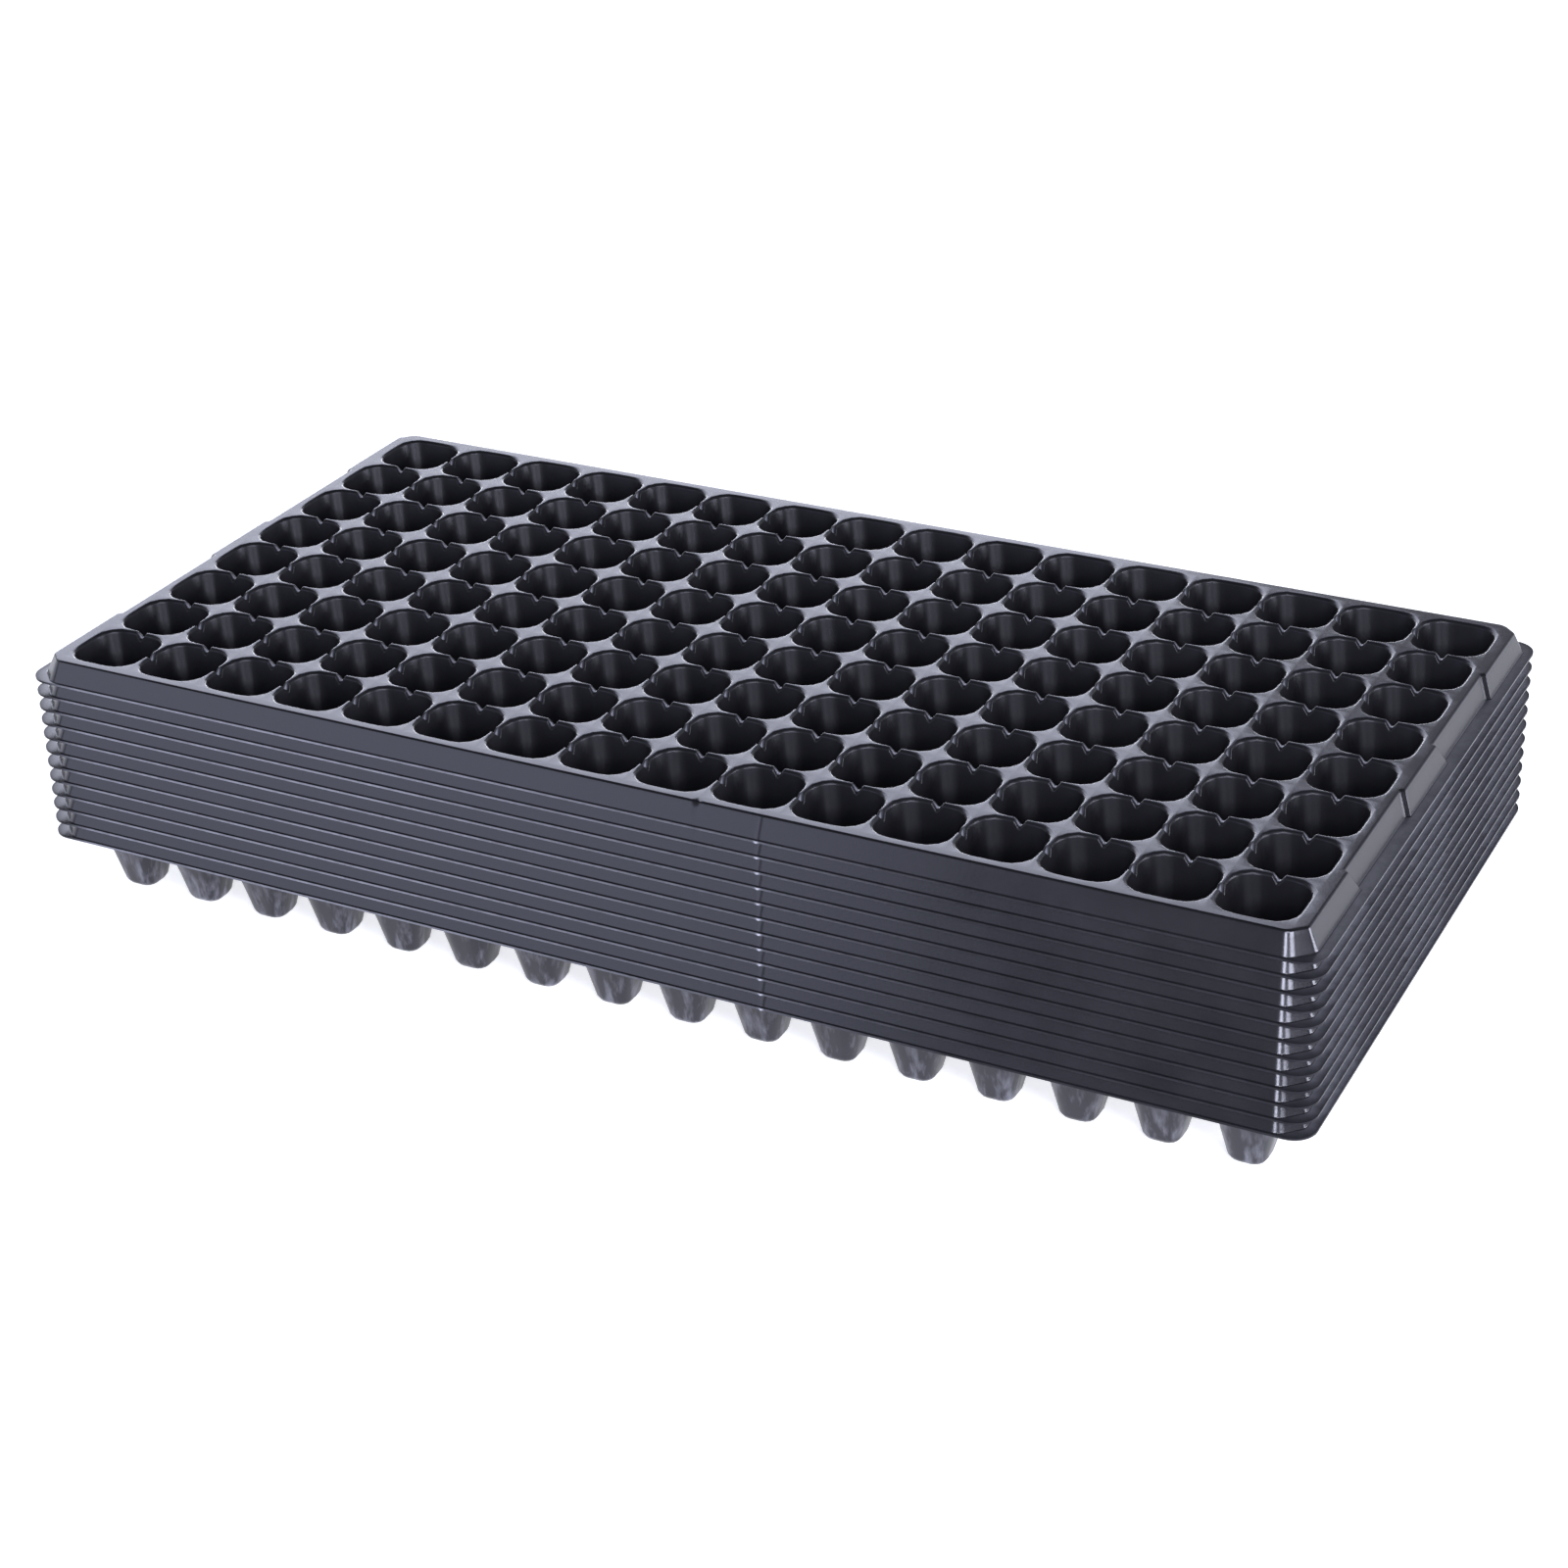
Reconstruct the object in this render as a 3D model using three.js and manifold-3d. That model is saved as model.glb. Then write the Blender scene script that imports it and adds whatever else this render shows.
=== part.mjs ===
// A nested stack of twelve thermoformed plug trays, each with 16 by 8 tapered cells.
//
// Frame: millimetres, +Z up. X runs along the long side of the trays and Y along the short side.
// The origin is under the centre of the stack, on the plane that the lowest cell floors stand on.
//
// Every tray is one formed sheet: a flat deck with the cell mouths, a sloping skirt round it, and
// a narrow flange round the foot of the skirt. The skirt steps inwards twice at each short end,
// which leaves three proud stacking lugs there. The top and the bottom tray carry all their
// cells. The trays between them show only their rims, so they are modelled as open rims.

import * as THREE from 'three';
import { mergeVertices } from 'three/addons/utils/BufferGeometryUtils.js';
import Module from 'manifold-3d';

// ---- driving dimensions ----

const TRAY_COUNT = 12;
const NEST_STEP = 6.4; // rise from one nested tray to the next

const COLUMNS = 16;
const ROWS = 8;
const CELL_PITCH = 32.2;
const CELL_DEPTH = 36; // deck face down to the underside of the cell floors
const WALL = 0.8;

const MOUTH_WIDTH = 30; // inside, at the deck face
const MOUTH_CORNER = 6.2; // leg of the chamfer that stands for the round mouth corner
const FLOOR_WIDTH = 12.8; // inside, at the cell floor

const SIDE_MARGIN = 3.5; // deck beyond the cell field, along the long sides
const LUG_MARGIN = 4.8; // deck beyond the cell field at the stacking lugs
const RECESS_MARGIN = 2.6; // deck beyond the cell field between the lugs
const DECK_CORNER = 6.4; // leg of the chamfer across each deck corner

const CORNER_LUG_ROWS = 1.35; // length of a corner lug along the short end, in cell pitches
const MIDDLE_LUG_ROWS = 1.2;
const LUG_FLANK = 1; // how far along the end a lug takes to step in

const SKIRT_HEIGHT = 8.4;
const SKIRT_RUN = 4; // how far the skirt slopes out over its height

const TRAY_LENGTH = 540;
const TRAY_WIDTH = 274;
const FLANGE_CORNER = 9.4; // radius
const FLANGE_CORNER_STEPS = 3;

const PLASTIC = { color: 0x2b2b31, roughness: 0.42, metalness: 0 };

// ---- sizes that follow from them ----

const FIELD_HALF_X = (COLUMNS * CELL_PITCH) / 2;
const FIELD_HALF_Y = (ROWS * CELL_PITCH) / 2;
const FLANGE_TOP = CELL_DEPTH - SKIRT_HEIGHT;
const FLANGE_FOOT = FLANGE_TOP - WALL;
const SKIRT_SLOPE = SKIRT_RUN / SKIRT_HEIGHT;
const SKIRT_WALL = WALL * Math.hypot(1, SKIRT_SLOPE); // wall measured level
const CELL_SLOPE = (MOUTH_WIDTH - FLOOR_WIDTH) / 2 / (CELL_DEPTH - WALL);
const CELL_WALL = WALL * Math.hypot(1, CELL_SLOPE); // wall measured level
const WEB = CELL_PITCH - MOUTH_WIDTH;
const CUT_CLEARANCE = 1; // how far a cutting body runs past the face that it cuts
const CHAMFER_GROWTH = 2 - Math.SQRT2; // growth of a chamfer's leg when its outline grows by 1
const MERGE_DISTANCE = 1e-4; // points closer than this are one point

const wasm = await Module();
wasm.setup();

// ---- outlines, as lists of THREE.Vector2 that run counter-clockwise ----

// A rectangle with its corners cut off at 45 degrees.
function chamferedOutline(halfX, halfY, leg) {
  const corners = [
    [1, -1],
    [1, 1],
    [-1, 1],
    [-1, -1],
  ];
  return corners.flatMap(([sx, sy]) => {
    const alongX = new THREE.Vector2(sx * (halfX - leg), sy * halfY);
    const alongY = new THREE.Vector2(sx * halfX, sy * (halfY - leg));
    return sx * sy < 0 ? [alongX, alongY] : [alongY, alongX];
  });
}

// One short end of the deck, from its -Y corner to its +Y corner, when the outline has grown
// outwards by `growth`: two corner lugs and a middle lug with a recess on either side of it.
function lugPoints(growth) {
  const lugX = FIELD_HALF_X + LUG_MARGIN + growth;
  const recessX = FIELD_HALF_X + RECESS_MARGIN + growth;
  const outerStep = FIELD_HALF_Y - CORNER_LUG_ROWS * CELL_PITCH - growth;
  const innerStep = (MIDDLE_LUG_ROWS * CELL_PITCH) / 2 + growth;
  return [
    [lugX, -outerStep],
    [recessX, -outerStep + LUG_FLANK],
    [recessX, -innerStep - LUG_FLANK],
    [lugX, -innerStep],
    [lugX, innerStep],
    [recessX, innerStep + LUG_FLANK],
    [recessX, outerStep - LUG_FLANK],
    [lugX, outerStep],
  ];
}

// The outline of the deck, or of the skirt at any level below it.
function skirtOutline(growth) {
  const halfX = FIELD_HALF_X + LUG_MARGIN + growth;
  const halfY = FIELD_HALF_Y + SIDE_MARGIN + growth;
  const leg = DECK_CORNER + CHAMFER_GROWTH * growth;
  const lugs = lugPoints(growth);
  const rightEnd = lugs.map(([x, y]) => new THREE.Vector2(x, y));
  const leftEnd = lugs.map(([x, y]) => new THREE.Vector2(-x, -y));
  const corners = chamferedOutline(halfX, halfY, leg);
  return [
    ...corners.slice(0, 2),
    ...rightEnd,
    ...corners.slice(2, 6),
    ...leftEnd,
    ...corners.slice(6),
  ];
}

function flangeOutline() {
  const halfX = TRAY_LENGTH / 2;
  const halfY = TRAY_WIDTH / 2;
  const inner = [halfX - FLANGE_CORNER, halfY - FLANGE_CORNER];
  const shape = new THREE.Shape();
  shape.absarc(inner[0], -inner[1], FLANGE_CORNER, -Math.PI / 2, 0);
  shape.absarc(inner[0], inner[1], FLANGE_CORNER, 0, Math.PI / 2);
  shape.absarc(-inner[0], inner[1], FLANGE_CORNER, Math.PI / 2, Math.PI);
  shape.absarc(-inner[0], -inner[1], FLANGE_CORNER, Math.PI, (3 * Math.PI) / 2);
  return shape.getPoints(FLANGE_CORNER_STEPS);
}

// A cell's section at its floor and at its mouth, inside the wall or grown outside it.
function cellFloorOutline(half) {
  return chamferedOutline(half, half, 0);
}

function cellMouthOutline(half) {
  return chamferedOutline(half, half, MOUTH_CORNER);
}

// ---- solids ----

function toManifold(geometry) {
  geometry.deleteAttribute('normal');
  geometry.deleteAttribute('uv');
  const merged = mergeVertices(geometry, MERGE_DISTANCE);
  return new wasm.Manifold(
    new wasm.Mesh({
      numProp: 3,
      vertProperties: new Float32Array(merged.attributes.position.array),
      triVerts: new Uint32Array(trianglesWithArea(merged.index.array)),
    }),
  );
}

// Where two points of an outline coincide, the triangle between them has no area and goes.
function trianglesWithArea(index) {
  const kept = [];
  for (let i = 0; i < index.length; i += 3) {
    const [a, b, c] = index.slice(i, i + 3);
    if (a !== b && b !== c && c !== a) kept.push(a, b, c);
  }
  return kept;
}

// A closed solid whose section goes from one outline to the other: a prism on the upper outline
// whose lower ring of points is moved onto the lower outline.
function loft(lower, lowerZ, upper, upperZ) {
  const geometry = new THREE.ExtrudeGeometry(new THREE.Shape(upper), {
    depth: upperZ - lowerZ,
    bevelEnabled: false,
  });
  geometry.translate(0, 0, lowerZ);
  const position = geometry.attributes.position;
  const middle = (lowerZ + upperZ) / 2;
  for (let i = 0; i < position.count; i += 1) {
    if (position.getZ(i) < middle) {
      const here = new THREE.Vector2(position.getX(i), position.getY(i));
      const ring = upper.findIndex((point) => point.distanceTo(here) < MERGE_DISTANCE);
      position.setXY(i, lower[ring].x, lower[ring].y);
    }
  }
  return toManifold(geometry);
}

function unionOf(solids) {
  return wasm.Manifold.union(solids);
}

// Deck, skirt and flange as one hollow shell, with no cells.
function rimShell() {
  const growthAt = (z) => (CELL_DEPTH - z) * SKIRT_SLOPE;
  const flange = flangeOutline();
  const outside = unionOf([
    loft(skirtOutline(growthAt(FLANGE_FOOT)), FLANGE_FOOT, skirtOutline(0), CELL_DEPTH),
    loft(flange, FLANGE_FOOT, flange, FLANGE_TOP),
  ]);
  const hollowFoot = FLANGE_FOOT - CUT_CLEARANCE;
  const hollowTop = CELL_DEPTH - WALL;
  const hollow = loft(
    skirtOutline(growthAt(hollowFoot) - SKIRT_WALL),
    hollowFoot,
    skirtOutline(growthAt(hollowTop) - SKIRT_WALL),
    hollowTop,
  );
  return outside.subtract(hollow);
}

function cellCentres() {
  const centres = [];
  for (let column = 0; column < COLUMNS; column += 1) {
    for (let row = 0; row < ROWS; row += 1) {
      const x = (column + 0.5) * CELL_PITCH - FIELD_HALF_X;
      const y = (row + 0.5) * CELL_PITCH - FIELD_HALF_Y;
      centres.push([x, y, 0]);
    }
  }
  return centres;
}

// Half the inside width of a cell `height` above the underside of its floor.
function cellHalfAt(height) {
  return FLOOR_WIDTH / 2 + (height - WALL) * CELL_SLOPE;
}

function cellOutside() {
  const top = CELL_DEPTH - WALL / 2; // inside the deck sheet, which it joins
  const floor = cellFloorOutline(cellHalfAt(0) + CELL_WALL);
  return loft(floor, 0, cellMouthOutline(cellHalfAt(top) + CELL_WALL), top);
}

function cellInside() {
  const top = CELL_DEPTH + CUT_CLEARANCE;
  return loft(cellFloorOutline(cellHalfAt(WALL)), WALL, cellMouthOutline(cellHalfAt(top)), top);
}

// A whole tray: the rim shell with all its cells.
function celledTray() {
  const centres = cellCentres();
  const outside = cellOutside();
  const inside = cellInside();
  const cups = unionOf(centres.map((centre) => outside.translate(centre)));
  const hollows = unionOf(centres.map((centre) => inside.translate(centre)));
  return rimShell().add(cups).subtract(hollows);
}

// A tray's rim alone: the deck is cut away inside the outermost cell mouths.
function openRim() {
  const windowOutline = chamferedOutline(
    FIELD_HALF_X - WEB / 2,
    FIELD_HALF_Y - WEB / 2,
    MOUTH_CORNER,
  );
  const low = CELL_DEPTH - WALL - CUT_CLEARANCE;
  const high = CELL_DEPTH + CUT_CLEARANCE;
  return rimShell().subtract(loft(windowOutline, low, windowOutline, high));
}

function toGeometry(solid) {
  const mesh = solid.getMesh();
  const geometry = new THREE.BufferGeometry();
  geometry.setAttribute('position', new THREE.BufferAttribute(mesh.vertProperties, 3));
  geometry.setIndex(new THREE.BufferAttribute(mesh.triVerts, 1));
  geometry.computeVertexNormals();
  return geometry;
}

// ---- the stack ----

const fullTray = toGeometry(celledTray());
const rimOnly = toGeometry(openRim());

const stack = new THREE.Group();
for (let level = 0; level < TRAY_COUNT; level += 1) {
  const showsCells = level === 0 || level === TRAY_COUNT - 1;
  const tray = new THREE.Mesh(
    showsCells ? fullTray : rimOnly,
    new THREE.MeshStandardMaterial(PLASTIC),
  );
  tray.name = `tray_${String(level + 1).padStart(2, '0')}`;
  tray.position.z = level * NEST_STEP;
  stack.add(tray);
}

export default stack;
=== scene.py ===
"""The looks of a nested stack of thermoformed plug trays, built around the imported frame.

Every tray is one formed sheet of black plastic: a deck with 16 by 8 tapered cells, a sloping
skirt, and a flange round its foot. A sheet's upper face is made here as one quad surface in
millimetres, centred on the tray with its cell floors standing on zero, and then thickened.
"""

import math

import bpy
import numpy as np
from mathutils import Matrix, Vector


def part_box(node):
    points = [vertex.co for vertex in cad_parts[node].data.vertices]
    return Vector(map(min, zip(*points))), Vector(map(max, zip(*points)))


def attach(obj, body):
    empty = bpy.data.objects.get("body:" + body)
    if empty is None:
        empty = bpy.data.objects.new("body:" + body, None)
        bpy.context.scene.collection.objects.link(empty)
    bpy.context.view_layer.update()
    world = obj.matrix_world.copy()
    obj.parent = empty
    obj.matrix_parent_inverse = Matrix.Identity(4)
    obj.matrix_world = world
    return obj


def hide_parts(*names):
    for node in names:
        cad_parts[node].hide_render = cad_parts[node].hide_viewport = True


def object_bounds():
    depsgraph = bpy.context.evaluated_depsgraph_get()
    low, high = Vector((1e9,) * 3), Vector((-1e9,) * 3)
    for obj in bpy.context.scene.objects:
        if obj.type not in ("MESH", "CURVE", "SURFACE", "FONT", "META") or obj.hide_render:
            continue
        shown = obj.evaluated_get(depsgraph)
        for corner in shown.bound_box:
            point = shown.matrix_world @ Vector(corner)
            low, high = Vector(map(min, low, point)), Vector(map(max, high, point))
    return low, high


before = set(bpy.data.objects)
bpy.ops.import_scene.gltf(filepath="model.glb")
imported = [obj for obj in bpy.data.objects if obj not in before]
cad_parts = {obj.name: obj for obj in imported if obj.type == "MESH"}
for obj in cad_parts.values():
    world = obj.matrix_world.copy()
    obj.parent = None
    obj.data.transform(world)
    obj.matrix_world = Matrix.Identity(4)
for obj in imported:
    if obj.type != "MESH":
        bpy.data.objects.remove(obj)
CAD_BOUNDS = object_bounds()
TRAYS = sorted(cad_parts)
BOTTOM, TOP = TRAYS[0], TRAYS[-1]

# ---- names of mesh attributes that the plastic's material reads ----

LIGHT_AND_WEAR = "painted_light_and_wear"  # how far the surface is painted pale: painted highlight on rims and notches, painted light on the flanges, and wear at the parting nib
CUP_OUTSIDE = "cup_outside"  # 1 on the outside of the cups
INSIDE = "inside"  # 1 inside the cells, which shine less than the deck
TRIM = "trimmed"  # 1 at the cut edge of the flange

# ---- dimensions of one tray, in millimetres ----

MM = 0.001
COLUMNS = 16
ROWS = 8
PITCH = 32.2
DEPTH = 36.0
WALL = 0.8
MOUTH = 15.0  # half width inside, at the deck
MOUTH_RADIUS = 9.4
FLOOR = 6.4  # half width inside, at the cell floor
LIP_RADIUS = 1.8
FLOOR_RADIUS = 2.5
DRAIN_RADIUS = 3.4
SLOPE = (MOUTH - FLOOR) / (DEPTH - WALL)
CORNER_SHARE = 0.62  # a cell's corner radius over its half width, at the floor
CORNER_TURNS = (math.pi / 8, math.pi / 4, 3 * math.pi / 8)  # points between a corner's ends

NOTCH_DEPTH = 2.7
# points of half a notch: distance from its middle, share of its depth
NOTCH_FINE = ((2.5, 0.0), (2.0, 0.16), (0.45, 0.93))
NOTCH_PLAIN = ((2.6, 0.0), (0.0, 1.0))

SIDE_MARGIN = 3.5
LUG_MARGIN = 4.6
RECESS_MARGIN = 3.0
DECK_CORNER = 5.5
DECK_EDGE_RADIUS = 1.2
POST_RADII = (5.2, 2.4)  # of the upright edges beside a corner chamfer, long side first
CORNER_LUG = 1.35 * PITCH
MIDDLE_LUG = 1.2 * PITCH
SKIRT_HEIGHT = 8.4
SKIRT_RUN = 4.0  # how far the skirt slopes out over its height
UNDER_EDGE = 0.28  # how far down the skirt the dent in the deck edge has faded out
FOOT_RADIUS = 0.7
FLANGE_CORNER = 9.4
LUG_FLANK = 1.0  # half the length over which a lug steps in
# a lug's step: distance along the end, share of the step
STEP_SHAPE = ((-LUG_FLANK, 0.0), (-0.62, 0.06), (-0.4, 0.22), (0.0, 0.5),
              (0.4, 0.78), (0.62, 0.94), (LUG_FLANK, 1.0))

SEAM_X = 59.0  # where the mould's parting line crosses one long side
SEAM_WIDTH = 0.6
SEAM_STEP = 0.5  # between the outline's points there
NIB = 0.1  # how far the parting nib stands out of the skirt
FLANGE_NIB = 0.3  # and how much further out of the flange
DENT_X = 33.0  # where the small dent in that side's deck edge is
DENT_WIDTH = 1.1
DENT_STEP = 0.9  # between the outline's points there
DENT_IN = 0.4
DENT_DOWN = 0.35
EVEN_STATIONS = 15  # the outline's points on half a long side, away from those marks
MARK_ROOM = 4.0  # how far those keep from the marks' points

# ---- painted highlight and painted light, with wear at the parting nib, from 0 for none to 1 for the palest ----

RIM_HIGHLIGHT = 0.1  # painted highlight on the rims of the cells
SIDE_LIGHT = 0.04  # painted light on the flanges of the long sides, away from their edges
EDGE_HIGHLIGHT = 0.5  # painted highlight on the edges of those flanges, at most, at their left end where the light falls, fading out towards the right; pale wear is added beside the parting nib
# painted light at the foot and at the edge of the flanges of the short ends; on the lower trays
# the paint at the foot stands in for light in the shaded gaps of the nest
TOP_END_LIGHT = (0.15, 0.12)
LOWER_END_LIGHT = (0.6, 0.08)
END_FADE = 6.0  # millimetres over which the painted light of the ends comes in past the cell field
CORNER_FADE = 22.0  # millimetres over which it fades towards the corners
NIB_WEAR_WIDTH = 0.8  # millimetres

FIELD_X = COLUMNS * PITCH / 2
FIELD_Y = ROWS * PITCH / 2


def side_stations():
    """Distances along a long side from its middle: even steps, and close ones at its marks."""
    close = [middle + k * step for middle, step in ((DENT_X, DENT_STEP), (SEAM_X, SEAM_STEP))
             for k in range(-3, 4)]
    even = np.linspace(0, FIELD_X - PITCH / 3, EVEN_STATIONS)
    apart = [x for x in even if min(abs(x - c) for c in close) > MARK_ROOM]
    return sorted(close + apart)


SIDE_STATIONS = side_stations()
POST_POINTS = 5
CORNER_FIRST = len(SIDE_STATIONS)
CORNER_LAST = CORNER_FIRST + 2 * POST_POINTS - 1


# ---- camera ----

def add_camera():
    """A camera that looks down at one front corner of the stack."""
    low, high = CAD_BOUNDS
    aim = Vector(((low.x + high.x) / 2, (low.y + high.y) / 2, low.z + 0.4 * (high.z - low.z)))
    azimuth, elevation, roll = math.radians(-27.405), math.radians(27.763), math.radians(-1.454)
    distance = 1.3056
    forward = Vector((math.sin(azimuth) * math.cos(elevation),
                      math.cos(azimuth) * math.cos(elevation),
                      -math.sin(elevation)))
    level = Vector((math.cos(azimuth), -math.sin(azimuth), 0))
    up = level.cross(forward)
    right = math.cos(roll) * level + math.sin(roll) * up
    up = math.cos(roll) * up - math.sin(roll) * level
    turn = Matrix((right, up, -forward)).transposed().to_4x4()
    data = bpy.data.cameras.new("camera")
    data.sensor_width = 36.0
    data.lens = 73.44
    camera = bpy.data.objects.new("camera", data)
    bpy.context.scene.collection.objects.link(camera)
    camera.matrix_world = Matrix.Translation(aim - forward * distance) @ turn
    bpy.context.scene.camera = camera


# ---- the cells ----

def fillet(start, corner, end, radius, steps):
    """Points of the arc of a radius that rounds a corner between two straight runs."""
    corner = np.array(corner)
    back = (np.array(start) - corner) / np.linalg.norm(np.array(start) - corner)
    on = (np.array(end) - corner) / np.linalg.norm(np.array(end) - corner)
    half = math.acos(np.clip(back @ on, -1, 1)) / 2
    centre = corner + (back + on) / np.linalg.norm(back + on) * radius / math.sin(half)
    first = corner + back * radius / math.tan(half) - centre
    last = corner + on * radius / math.tan(half) - centre
    turn = math.acos(np.clip(first @ last / radius**2, -1, 1))
    shares = np.linspace(0, 1, steps + 1)
    return [centre + (math.sin((1 - share) * turn) * first
                      + math.sin(share * turn) * last) / math.sin(turn)
            for share in shares]


def cell_profile(floor_steps):
    """(half width, height) down the middle of a cell wall, from below its lip to the floor."""
    foot = (FLOOR, WALL)
    return [tuple(p) for p in fillet((MOUTH, DEPTH), foot, (0, WALL), FLOOR_RADIUS, floor_steps)]


def lip_rings(steps):
    """(angles along the cell's sides, angles round its corners) of each ring of the round lip.

    The webs between cells are narrower than two lips, so along a side the lip starts part way
    round, where the two lips of the web meet."""
    end = math.pi / 2 - math.atan(SLOPE)
    centre = MOUTH + LIP_RADIUS * math.tan(end / 2)
    start = math.asin((centre - PITCH / 2) / LIP_RADIUS)
    shares = np.linspace(0, 1, steps + 1)
    side = start + (end - start) * np.maximum(shares, 0.12)
    return centre, start, side, end * shares


def side_nodes(fine):
    """(distance along a cell's side from its middle, share of the notch's depth) of its points."""
    notch = NOTCH_FINE if fine else NOTCH_PLAIN
    half = [(MOUTH - MOUTH_RADIUS, 0.0), *notch]
    left = [(-s, d) for s, d in half]
    right = [(s, d) for s, d in reversed(half) if s > 0]
    return left + right


def round_square(nodes, side_half, corner_half, radius):
    """Points round a rounded square, counter-clockwise. The sides and the corners may lie at
    different distances out."""
    scale = (corner_half - radius) / (MOUTH - MOUTH_RADIUS)
    flat = corner_half - radius
    points = []
    for side in range(4):
        local = [(side_half, s * scale) for s, _ in nodes]
        local += [(flat + radius * math.cos(t), flat + radius * math.sin(t)) for t in CORNER_TURNS]
        points += turned(local, side)
    return np.array(points)


def tile_edge(nodes):
    """The same points pushed out to the square that the cell has to itself."""
    flat = MOUTH - MOUTH_RADIUS
    points = []
    for side in range(4):
        local = [(PITCH / 2, s) for s, _ in nodes]
        for t in CORNER_TURNS:
            reach = (PITCH / 2 - flat) / max(math.cos(t), math.sin(t))
            local.append((flat + reach * math.cos(t), flat + reach * math.sin(t)))
        points += turned(local, side)
    return np.array(points)


def turned(points, quarter_turns):
    """The points turned about the origin by a number of quarter turns."""
    a = quarter_turns * math.pi / 2
    c, s = math.cos(a), math.sin(a)
    return [(x * c - y * s, x * s + y * c) for x, y in points]


def one_cell(nodes, lip_steps, floor_steps):
    """Rings of points (rings, around, 3) from the square round a cell to its drain hole, with
    no notches, and how many of the rings belong to the web."""
    per_side = len(nodes) + len(CORNER_TURNS)
    on_side = np.arange(4 * per_side) % per_side < len(nodes)
    centre, start, side_angles, corner_angles = lip_rings(lip_steps)
    base = DEPTH - LIP_RADIUS
    xy = [tile_edge(nodes)]
    z = [np.where(on_side, base + LIP_RADIUS * math.cos(start), DEPTH)]
    for on, off in zip(side_angles, corner_angles):
        side_half = centre - LIP_RADIUS * math.sin(on)
        corner_half = centre - LIP_RADIUS * math.sin(off)
        radius = corner_half - (MOUTH - MOUTH_RADIUS)
        xy.append(round_square(nodes, side_half, corner_half, radius))
        z.append(base + LIP_RADIUS * np.where(on_side, math.cos(on), math.cos(off)))
    for half, height in cell_profile(floor_steps):
        xy.append(round_square(nodes, half, half, half * CORNER_SHARE))
        z.append(np.full(4 * per_side, height))
    xy.append(xy[-1] / np.linalg.norm(xy[-1], axis=1)[:, None] * DRAIN_RADIUS)
    z.append(z[-1])
    return np.dstack((np.array(xy), np.array(z))), lip_steps + 2


def cells(fine, lip_steps, floor_steps):
    """Vertices and quads of all the cells, tile by tile, and which vertices are on a rim."""
    nodes = side_nodes(fine)
    rings, web_rings = one_cell(nodes, lip_steps, floor_steps)
    per_side = len(nodes) + len(CORNER_TURNS)
    out = []
    for column in range(COLUMNS):
        for row in range(ROWS):
            cell = rings.copy()
            has_web = (column < COLUMNS - 1, row < ROWS - 1, column > 0, row > 0)
            for side in np.nonzero(has_web)[0]:
                outward = np.array(turned([(1, 0)], side)[0])
                for k, (_, share) in enumerate(nodes):
                    dip = share * NOTCH_DEPTH
                    i = side * per_side + k
                    cell[:web_rings, i, 2] -= dip
                    cell[1:web_rings, i, :2] -= outward * dip * SLOPE
            cell[:, :, 0] += (column + 0.5) * PITCH - FIELD_X
            cell[:, :, 1] += (row + 0.5) * PITCH - FIELD_Y
            out.append(cell)
    vertices = np.array(out)
    count, depth, around, _ = vertices.shape
    index = np.arange(count * depth * around).reshape(count, depth, around)
    following = np.roll(index, -1, axis=2)
    quads = np.stack((index[:, :-1], following[:, :-1], following[:, 1:], index[:, 1:]), axis=-1)
    rim = np.zeros((count, depth, around), bool)
    rim[:, 0, np.arange(around) % per_side < len(nodes)] = True
    rim[:, 1] = True
    return vertices.reshape(-1, 3), quads.reshape(-1, 4), rim.reshape(-1)


# ---- the border: deck edge, skirt and flange ----

TOE_STEPS = 2
BELOW_DENT = TOE_STEPS + 3  # rings below the deck edge: one under it, the toe's, the flange's


def border_profile(fine):
    """(growth of the skirt outline, height) from the deck, over its edge and down to the foot."""
    steps = 3 if fine else 2
    top = (0, DEPTH)
    foot = (SKIRT_RUN, DEPTH - SKIRT_HEIGHT)
    edge = fillet((-1, DEPTH), top, foot, DECK_EDGE_RADIUS, steps)
    below = (SKIRT_RUN * UNDER_EDGE, DEPTH - SKIRT_HEIGHT * UNDER_EDGE)
    toe = fillet(top, foot, (foot[0] + 1, foot[1]), FOOT_RADIUS, TOE_STEPS)
    return [tuple(p) for p in (*edge, below, *toe)]


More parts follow.
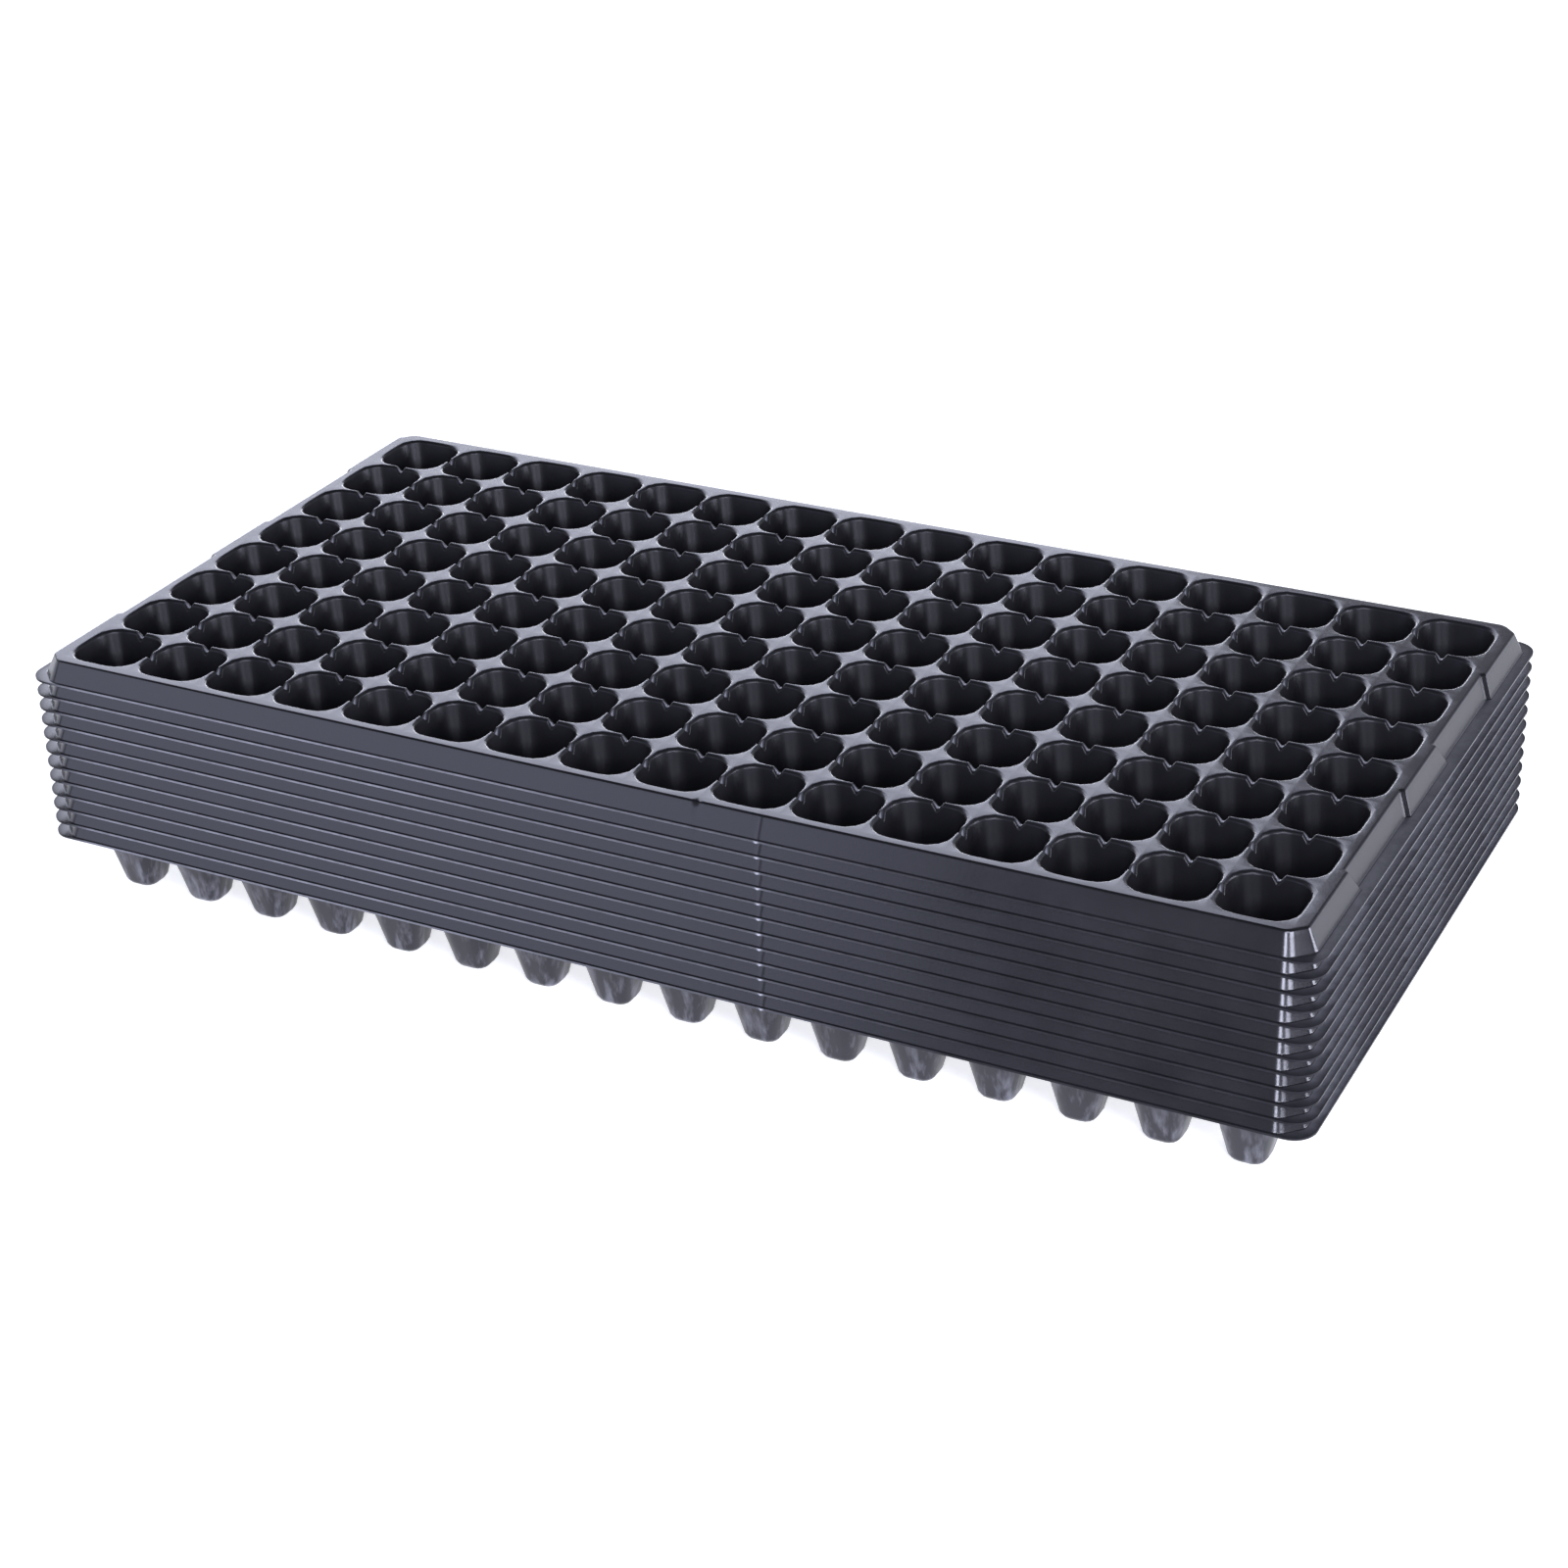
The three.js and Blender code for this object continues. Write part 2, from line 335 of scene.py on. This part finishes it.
def skirt_quarter(growth):
    """The quarter of the skirt outline with x > 0 and y < 0, from the long side's middle to the
    short end's middle. Its corner runs from point CORNER_FIRST to point CORNER_LAST."""
    half_x = FIELD_X + LUG_MARGIN + growth
    half_y = FIELD_Y + SIDE_MARGIN + growth
    leg = DECK_CORNER + (2 - math.sqrt(2)) * growth
    side_radius, end_radius = (radius + growth / 2 for radius in POST_RADII)
    share = math.tan(math.pi / 8)
    points = [(x, -half_y) for x in SIDE_STATIONS]
    turns = np.linspace(0, math.pi / 4, POST_POINTS)
    x, y = half_x - leg - side_radius * share, -half_y + side_radius
    points += [(x + side_radius * math.sin(t), y - side_radius * math.cos(t)) for t in turns]
    x, y = half_x - end_radius, -half_y + leg + end_radius * share
    points += [(x + end_radius * math.sin(t), y - end_radius * math.cos(t))
               for t in turns + math.pi / 4]
    start = points[-1][1]
    outer = -(FIELD_Y - CORNER_LUG - growth) + LUG_FLANK / 2
    inner = -(MIDDLE_LUG / 2 + growth) - LUG_FLANK / 2
    step = LUG_MARGIN - RECESS_MARGIN
    lug, recess = outer - LUG_FLANK - start, inner - outer - 2 * LUG_FLANK
    points += [(half_x, start + lug * k / 4) for k in range(1, 4)]
    points += [(half_x - step * share, outer + at) for at, share in STEP_SHAPE]
    points += [(half_x - step, outer + LUG_FLANK + recess * k / 5) for k in range(1, 5)]
    points += [(half_x - step * (1 - share), inner + at) for at, share in STEP_SHAPE]
    points += [(half_x, (inner + LUG_FLANK) / 2), (half_x, 0.0)]
    return np.array(points)


def flange_quarter(foot, half_x, half_y):
    """The flange's edge, with a point for each point of the quarter outline it grows from."""
    points = foot.copy()
    points[:CORNER_FIRST, 1] = -half_y
    turns = np.linspace(0, math.pi / 2, CORNER_LAST - CORNER_FIRST + 1)
    corner = slice(CORNER_FIRST, CORNER_LAST + 1)
    points[corner, 0] = half_x - FLANGE_CORNER * (1 - np.sin(turns))
    points[corner, 1] = -half_y + FLANGE_CORNER * (1 - np.cos(turns))
    points[CORNER_LAST + 1:, 0] = half_x
    return points


def whole_loop(quarter):
    """A quarter outline mirrored to the whole one, counter-clockwise from (0, -y)."""
    q = quarter
    right_back = q[::-1][1:] * (1, -1)
    left_back = q[1:] * (-1, -1)
    left_front = q[::-1][1:-1] * (-1, 1)
    return np.concatenate((q, right_back, left_back, left_front))


def round_the_field(xy):
    """How far round the edge of the cell field each point of a loop lies, from (0, -y)."""
    x = np.clip(xy[:, 0], -FIELD_X, FIELD_X)
    y = np.clip(xy[:, 1], -FIELD_Y, FIELD_Y)
    out = np.zeros(len(xy))
    for i, (a, b) in enumerate(zip(x, y)):
        if b <= -FIELD_Y and a >= 0:
            out[i] = a
        elif a >= FIELD_X:
            out[i] = FIELD_X + (b + FIELD_Y)
        elif b >= FIELD_Y:
            out[i] = FIELD_X + 2 * FIELD_Y + (FIELD_X - a)
        elif a <= -FIELD_X:
            out[i] = 3 * FIELD_X + 2 * FIELD_Y + (FIELD_Y - b)
        else:
            out[i] = 3 * FIELD_X + 4 * FIELD_Y + (a + FIELD_X)
    return out


def mould_marks(rings):
    """The small dent in one long side's deck edge, and the parting nib on its skirt and flange."""
    front = rings[:, :, 1] < -FIELD_Y
    dent = np.exp(-(((rings[:, :, 0] - DENT_X) / DENT_WIDTH) ** 2)) * front
    dent[-BELOW_DENT:] = 0
    rings[:, :, 1] += DENT_IN * dent
    rings[:, :, 2] -= DENT_DOWN * dent
    nib = np.exp(-(((rings[:, :, 0] - SEAM_X) / SEAM_WIDTH) ** 2)) * front
    rings[1:, :, 1] -= NIB * nib[1:]
    rings[-1, :, 1] -= FLANGE_NIB * nib[-1]


def border(fine, half_x, half_y):
    """Rings of points (rings, around, 3) from the deck out to the flange's edge, and quads."""
    loops = [(whole_loop(skirt_quarter(growth)), height)
             for growth, height in border_profile(fine)]
    foot = skirt_quarter(SKIRT_RUN + FOOT_RADIUS)
    flange = whole_loop(flange_quarter(foot, half_x, half_y))
    loops.append((flange, DEPTH - SKIRT_HEIGHT))
    rings = np.array([np.c_[xy, np.full(len(xy), height)] for xy, height in loops])
    mould_marks(rings)
    depth, around, _ = rings.shape
    index = np.arange(depth * around).reshape(depth, around)
    following = np.roll(index, -1, axis=1)
    quads = np.stack((index[:-1], index[1:], following[1:], following[:-1]), axis=-1)
    return rings, quads.reshape(-1, 4)


def zipper(points, inner, outer):
    """Triangles between two loops of vertices that run side by side, by the shorter diagonal."""
    faces = []
    i = j = 0
    while i < len(inner) or j < len(outer):
        a, b = inner[i % len(inner)], outer[j % len(outer)]
        next_a, next_b = inner[(i + 1) % len(inner)], outer[(j + 1) % len(outer)]
        along_inner = np.linalg.norm(points[next_a] - points[b])
        along_outer = np.linalg.norm(points[a] - points[next_b])
        if j >= len(outer) or (i < len(inner) and along_inner <= along_outer):
            faces.append((a, b, next_a))
            i += 1
        else:
            faces.append((a, b, next_b))
            j += 1
    return faces


SAME_POINT = 0.01  # points closer than this, in millimetres, are made one


def mark(mesh, name, values):
    """Give the mesh an attribute with one value for each vertex."""
    attribute = mesh.attributes.new(name, "FLOAT", "POINT")
    attribute.data.foreach_set("value", values.astype(float))


def border_light_and_wear(edge, half_x, half_y, end_light):
    """Painted light at the foot and at the edge of a flange, with the painted highlight of the
    long edges and the wear at the parting nib, for each point of its edge.
    """
    x, y = edge[:, 0], edge[:, 1]
    at_end = np.clip((np.abs(x) - FIELD_X) / END_FADE, 0, 1)
    at_end *= np.clip((half_y - np.abs(y)) / CORNER_FADE, 0, 1)
    foot_light, edge_light_and_wear = (SIDE_LIGHT + (wear - SIDE_LIGHT) * at_end for wear in end_light)
    # painted highlight along the long flange edges, palest at the left end where the light falls
    # and fading to the right
    edge_highlight_and_nib_wear = EDGE_HIGHLIGHT * (np.abs(x) < FIELD_X) * np.clip(0.6 - x / half_x, 0, 1)
    edge_highlight_and_nib_wear += np.exp(-(((x - SEAM_X) / NIB_WEAR_WIDTH) ** 2)) * (y < 0)
    return foot_light, np.maximum(edge_light_and_wear, edge_highlight_and_nib_wear)


def sheet_mesh(fine, lip_steps, floor_steps, half_x, half_y, end_light):
    """The upper face of one tray's sheet. The end light is the painted light of its end flanges,
    at the foot of the skirt and at the edge."""
    cell_points, cell_quads, rim = cells(fine, lip_steps, floor_steps)
    rings, border_quads = border(fine, half_x, half_y)
    keys = np.round(cell_points / SAME_POINT).astype(np.int64)
    _, first, same = np.unique(keys, axis=0, return_index=True, return_inverse=True)
    points = cell_points[first]
    quads = same.reshape(-1)[cell_quads]
    vertices = np.concatenate((points, rings.reshape(-1, 3)))

    edge = np.isclose(np.abs(points[:, 0]), FIELD_X) | np.isclose(np.abs(points[:, 1]), FIELD_Y)
    loop = np.nonzero(edge)[0]
    loop = loop[np.argsort(round_the_field(points[loop]))]
    strip = zipper(vertices, loop, len(points) + np.arange(rings.shape[1]))

    faces = quads.tolist() + (border_quads + len(points)).tolist() + strip
    mesh = bpy.data.meshes.new("sheet")
    mesh.from_pydata((vertices * MM).tolist(), [], faces)
    mesh.update()

    foot_light, edge_light_and_wear = border_light_and_wear(rings[-1], half_x, half_y, end_light)
    # painted highlight along the rims of the cells
    rim_highlight = RIM_HIGHLIGHT * rim[first]
    tile = points[:, :2] / PITCH
    on_web = (np.abs(tile - np.round(tile)) < 0.001).any(axis=1)
    rim_highlight[on_web & (points[:, 2] < DEPTH - 0.8 * NOTCH_DEPTH)] = 1  # painted highlight at the notches' bottoms
    around = rings.shape[1]
    unpainted = np.zeros(len(vertices) - len(points) - 2 * around)
    # painted highlight on rims and notches, painted light on the flanges, and wear at the parting
    # nib
    mark(mesh, LIGHT_AND_WEAR, np.concatenate((rim_highlight, unpainted, foot_light, edge_light_and_wear)))
    mark(mesh, TRIM, np.arange(len(vertices)) >= len(vertices) - around)
    return mesh


STREAK_TOP = 6.0  # millimetres below the deck, where the streaked outside of the cups begins
INSIDE_TOP = 0.3  # millimetres below the deck, where the inside of the cells begins
SHARP_ANGLE = math.radians(58)


def thickened(mesh):
    """The mesh with its thickness made, its cups marked inside and out, and its sharp edges
    kept sharp."""
    raw = bpy.data.objects.new("raw_sheet", mesh)
    bpy.context.scene.collection.objects.link(raw)
    solid = raw.modifiers.new("sheet", "SOLIDIFY")
    solid.thickness = WALL * MM
    solid.offset = -1
    solid.use_even_offset = True
    graph = bpy.context.evaluated_depsgraph_get()
    made = bpy.data.meshes.new_from_object(raw.evaluated_get(graph))
    bpy.data.objects.remove(raw)
    height = np.array([v.co.z for v in made.vertices]) / MM
    reach = np.abs(np.array([v.co.xy for v in made.vertices])) / MM
    field = (reach[:, 0] < FIELD_X) & (reach[:, 1] < FIELD_Y)
    outside = np.arange(len(height)) >= len(mesh.vertices)
    mark(made, CUP_OUTSIDE, field & outside & (height < DEPTH - STREAK_TOP))
    mark(made, INSIDE, field & ~outside & (height < DEPTH - INSIDE_TOP))
    made.shade_smooth()
    made.set_sharp_from_angle(angle=SHARP_ANGLE)
    return made


# ---- materials ----

# sockets of a Mix node: its factor, then its two inputs and its output, for colours and for
# numbers
MIX_FACTOR = 0
COLOUR_A, COLOUR_B, COLOUR_OUT = 6, 7, 2
NUMBER_A, NUMBER_B, NUMBER_OUT = 2, 3, 0


def node(tree, kind, **values):
    """A new node, with the values of its inputs or of its settings."""
    made = tree.nodes.new(kind)
    for key, value in values.items():
        if key in made.inputs:
            made.inputs[key].default_value = value
        else:
            setattr(made, key, value)
    return made


def set_ramp(ramp, *stops):
    """Set the two stops of a colour ramp, each given as a position and a colour."""
    for element, (position, colour) in zip(ramp.color_ramp.elements, stops):
        element.position = position
        element.color = (*colour, 1)


def set_range(spread, from_min=0.0, from_max=1.0, to_min=0.0, to_max=1.0):
    """Set the two ranges of a Map Range node."""
    for key, value in (("From Min", from_min), ("From Max", from_max),
                       ("To Min", to_min), ("To Max", to_max)):
        spread.inputs[key].default_value = value


def plastic():
    """Formed black plastic: satin and faintly mottled; paler and duller where painted highlight
    and painted light are laid on rims, notches and flanges, and where it is worn at the parting
    nib; duller inside the cells; and streaked with pale grey on the outside of the cups."""
    material = bpy.data.materials.new("tray_plastic_look")
    material.use_nodes = True
    tree = material.node_tree
    link = tree.links.new
    shader = tree.nodes["Principled BSDF"]
    shader.inputs["IOR"].default_value = 1.52
    shader.inputs["Specular Tint"].default_value = (0.88, 0.88, 1.0, 1)
    place = node(tree, "ShaderNodeTexCoord")
    mottle = node(tree, "ShaderNodeTexNoise", Scale=38.0, Detail=6.0, Roughness=0.6)
    link(place.outputs["Object"], mottle.inputs["Vector"])
    tone = node(tree, "ShaderNodeValToRGB")
    set_ramp(tone, (0.3, (0.0040, 0.0040, 0.0052)), (0.75, (0.0085, 0.0085, 0.0105)))
    link(mottle.outputs["Fac"], tone.inputs["Fac"])

    light_and_wear_mask = node(tree, "ShaderNodeAttribute", attribute_name=LIGHT_AND_WEAR)
    patch_noise = node(tree, "ShaderNodeTexNoise", Scale=160.0, Detail=5.0, Roughness=0.65)
    link(place.outputs["Object"], patch_noise.inputs["Vector"])
    patchy = node(tree, "ShaderNodeMapRange")
    set_range(patchy, from_min=0.25, from_max=0.6, to_min=0.6)
    link(patch_noise.outputs["Fac"], patchy.inputs["Value"])
    painted_light_and_wear = node(tree, "ShaderNodeMath", operation="MULTIPLY")
    link(light_and_wear_mask.outputs["Fac"], painted_light_and_wear.inputs[0])
    link(patchy.outputs["Result"], painted_light_and_wear.inputs[1])
    # the pale colour of the painted highlight and painted light, and of the wear at the parting
    # nib
    paint = node(tree, "ShaderNodeMix", data_type="RGBA")
    paint.inputs[COLOUR_B].default_value = (0.36, 0.365, 0.44, 1)
    link(painted_light_and_wear.outputs[0], paint.inputs[MIX_FACTOR])
    link(tone.outputs["Color"], paint.inputs[COLOUR_A])

    cup = node(tree, "ShaderNodeAttribute", attribute_name=CUP_OUTSIDE)
    drawn = node(tree, "ShaderNodeMapping")
    drawn.inputs["Rotation"].default_value = (0.25, 0.15, 0)
    drawn.inputs["Scale"].default_value = (230, 230, 28)
    link(place.outputs["Object"], drawn.inputs["Vector"])
    streak = node(tree, "ShaderNodeTexNoise", Scale=1.0, Detail=4.0, Roughness=0.6)
    link(drawn.outputs["Vector"], streak.inputs["Vector"])
    # pale grey streaks on the outside of the cups
    streak_tone = node(tree, "ShaderNodeValToRGB")
    set_ramp(streak_tone, (0.47, (0.009, 0.009, 0.013)), (0.7, (0.15, 0.15, 0.185)))
    link(streak.outputs["Fac"], streak_tone.inputs["Fac"])
    skin = node(tree, "ShaderNodeMix", data_type="RGBA")
    link(cup.outputs["Fac"], skin.inputs[MIX_FACTOR])
    link(paint.outputs[COLOUR_OUT], skin.inputs[COLOUR_A])
    link(streak_tone.outputs["Color"], skin.inputs[COLOUR_B])
    link(skin.outputs[COLOUR_OUT], shader.inputs["Base Color"])

    gloss = node(tree, "ShaderNodeMapRange")
    set_range(gloss, to_min=0.15, to_max=0.28)
    link(mottle.outputs["Fac"], gloss.inputs["Value"])
    dull = node(tree, "ShaderNodeMix", data_type="FLOAT")
    dull.inputs[NUMBER_B].default_value = 0.34
    within = node(tree, "ShaderNodeAttribute", attribute_name=INSIDE)
    inner = node(tree, "ShaderNodeMath", operation="MAXIMUM")
    link(within.outputs["Fac"], inner.inputs[0])
    link(cup.outputs["Fac"], inner.inputs[1])
    wear = node(tree, "ShaderNodeMath", operation="MAXIMUM")
    link(painted_light_and_wear.outputs[0], wear.inputs[0])
    link(inner.outputs[0], wear.inputs[1])
    link(wear.outputs[0], dull.inputs[MIX_FACTOR])
    link(gloss.outputs["Result"], dull.inputs[NUMBER_A])
    link(dull.outputs[NUMBER_OUT], shader.inputs["Roughness"])

    cut = node(tree, "ShaderNodeAttribute", attribute_name=TRIM)
    sheen = node(tree, "ShaderNodeMapRange")
    set_range(sheen, to_min=0.5, to_max=0.06)
    link(cut.outputs["Fac"], sheen.inputs["Value"])
    lower = node(tree, "ShaderNodeMapRange")
    set_range(lower, to_min=1.0, to_max=0.45)
    link(within.outputs["Fac"], lower.inputs["Value"])
    shine = node(tree, "ShaderNodeMath", operation="MULTIPLY")
    link(sheen.outputs["Result"], shine.inputs[0])
    link(lower.outputs["Result"], shine.inputs[1])
    link(shine.outputs[0], shader.inputs["Specular IOR Level"])

    grain = node(tree, "ShaderNodeTexNoise", Scale=900.0, Detail=3.0)
    link(place.outputs["Object"], grain.inputs["Vector"])
    bump = node(tree, "ShaderNodeBump", Strength=0.25, Distance=0.00008)
    link(grain.outputs["Fac"], bump.inputs["Height"])
    link(bump.outputs["Normal"], shader.inputs["Normal"])
    return material


# ---- the pieces ----

def add_trays():
    """A sheet for each tray, coarser for the trays whose cells are hidden in the nest."""
    material = plastic()
    low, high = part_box(TOP)
    size = {"half_x": (high.x - low.x) / 2 / MM, "half_y": (high.y - low.y) / 2 / MM}
    top_sheet = thickened(sheet_mesh(
        fine=True, lip_steps=3, floor_steps=1, end_light=TOP_END_LIGHT, **size))
    bottom_sheet = thickened(sheet_mesh(
        fine=True, lip_steps=2, floor_steps=2, end_light=LOWER_END_LIGHT, **size))
    plain_sheet = thickened(sheet_mesh(
        fine=False, lip_steps=1, floor_steps=1, end_light=LOWER_END_LIGHT, **size))
    for name in TRAYS:
        sheet = {TOP: top_sheet, BOTTOM: bottom_sheet}.get(name, plain_sheet)
        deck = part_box(name)[1].z
        mesh = sheet.copy()
        mesh.name = name + "_sheet"
        mesh.transform(Matrix.Translation((0, 0, deck - DEPTH * MM)))
        mesh.materials.append(material)
        tray = bpy.data.objects.new(name + "_sheet", mesh)
        bpy.context.scene.collection.objects.link(tray)
        weighted = tray.modifiers.new("even_shade", "WEIGHTED_NORMAL")
        weighted.mode = "FACE_AREA"
        weighted.weight = 100
        weighted.keep_sharp = True
        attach(tray, name)
        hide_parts(name)


# ---- floor and lights ----

FLOOR_HALF = 14.0  # metres
FLOOR_GAP = 0.0004  # metres below the stack


def add_floor():
    """A white floor, which also glows a little so that it stays white."""
    mesh = bpy.data.meshes.new("floor")
    corners = [(x * FLOOR_HALF, y * FLOOR_HALF, 0)
               for x, y in ((-1, -1), (1, -1), (1, 1), (-1, 1))]
    mesh.from_pydata(corners, [], [(0, 1, 2, 3)])
    material = bpy.data.materials.new("floor_white")
    material.use_nodes = True
    shader = material.node_tree.nodes["Principled BSDF"]
    shader.inputs["Base Color"].default_value = (0.7, 0.7, 0.7, 1)
    shader.inputs["Roughness"].default_value = 0.9
    shader.inputs["Emission Color"].default_value = (0.94, 0.95, 1, 1)
    shader.inputs["Emission Strength"].default_value = 0.75
    mesh.materials.append(material)
    floor = bpy.data.objects.new("floor", mesh)
    floor.location.z = CAD_BOUNDS[0].z - FLOOR_GAP
    bpy.context.scene.collection.objects.link(floor)


def add_light(name, azimuth, elevation, distance, width, height, power, colour):
    """A soft rectangular light that looks at the stack from a direction round it. Azimuth 0 is
    in front, on the -Y side, and 90 is on the +X side."""
    low, high = CAD_BOUNDS
    aim = (low + high) / 2
    a, e = math.radians(azimuth), math.radians(elevation)
    away = Vector((math.sin(a) * math.cos(e), -math.cos(a) * math.cos(e), math.sin(e)))
    data = bpy.data.lights.new(name, "AREA")
    data.shape = "RECTANGLE"
    data.size, data.size_y = width, height
    data.energy = power
    data.color = colour
    light = bpy.data.objects.new(name, data)
    light.location = aim + away * distance
    light.rotation_euler = (-away).to_track_quat("-Z", "Y").to_euler()
    bpy.context.scene.collection.objects.link(light)
    light.visible_camera = False


def add_lights():
    """A sky that darkens towards its top, and the lamps of the studio round the stack."""
    world = bpy.data.worlds.new("studio")
    bpy.context.scene.world = world
    world.use_nodes = True
    tree = world.node_tree
    sky = tree.nodes["Background"]
    place = node(tree, "ShaderNodeTexCoord")
    split = node(tree, "ShaderNodeSeparateXYZ")
    tree.links.new(place.outputs["Generated"], split.inputs[0])
    fade = node(tree, "ShaderNodeValToRGB")
    set_ramp(fade, (0.35, (0.86, 0.88, 1)), (0.75, (0.16, 0.16, 0.19)))
    tree.links.new(split.outputs["Z"], fade.inputs["Fac"])
    tree.links.new(fade.outputs["Color"], sky.inputs["Color"])
    sky.inputs["Strength"].default_value = 0.6
    add_light("back_left", -134, 31, 2.4, 2.6, 1.2, 30, (0.82, 0.85, 1))
    add_light("back_low", -142, 8, 2.4, 2.8, 0.3, 18, (0.88, 0.9, 1))
    add_light("left", -84, 4, 1.9, 1.2, 0.5, 2.5, (0.82, 0.85, 1))
    add_light("left_front", -37, 17, 1.9, 1.25, 0.7, 5, (0.78, 0.83, 1))
    add_light("front_strip", 21, 22, 1.7, 0.3, 0.3, 9, (0.9, 0.92, 1))
    add_light("camera_side", 54, 22, 1.7, 0.55, 0.3, 13, (0.9, 0.92, 1))
    add_light("key", 34, 35, 1.8, 0.25, 0.25, 12, (0.9, 0.92, 1))
    add_light("right", 106, 12, 1.9, 0.95, 0.4, 20, (0.9, 0.92, 1))
    add_light("back_right", 142, 5, 2.6, 1.6, 0.5, 3, (0.82, 0.84, 1))
    bpy.context.scene.view_settings.view_transform = "Standard"


add_camera()
add_trays()
add_floor()
add_lights()
